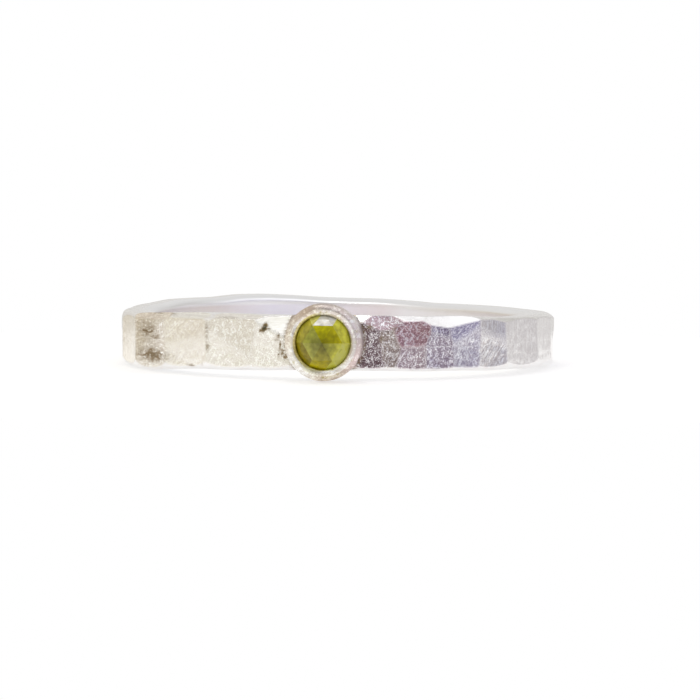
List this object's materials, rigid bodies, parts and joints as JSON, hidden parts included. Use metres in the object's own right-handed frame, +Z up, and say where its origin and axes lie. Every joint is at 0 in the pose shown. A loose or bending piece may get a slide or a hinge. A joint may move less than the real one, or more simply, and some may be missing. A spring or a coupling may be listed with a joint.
{
  "type": "stackable ring",
  "caption": "Hammered silver stacking ring with a small round rose-cut stone in a bezel, lying on its side.",
  "frame": {"origin": "centre of the bounding box at the surface that the ring lies on", "axes": "+Z up from that surface, near the finger's axis; the stone faces -Y; +X is the right hand of someone who faces the stone"},
  "size_m": [0.0204, 0.0218, 0.0034],
  "materials": {
    "silver": "hammered sterling silver, polished over a fine worn grain",
    "stone": "faceted yellow-green stone"
  },
  "bodies": {
    "root": {"hammered_band_with_bezel": "silver", "rose_cut_stone": "stone"}
  },
  "joints": []
}
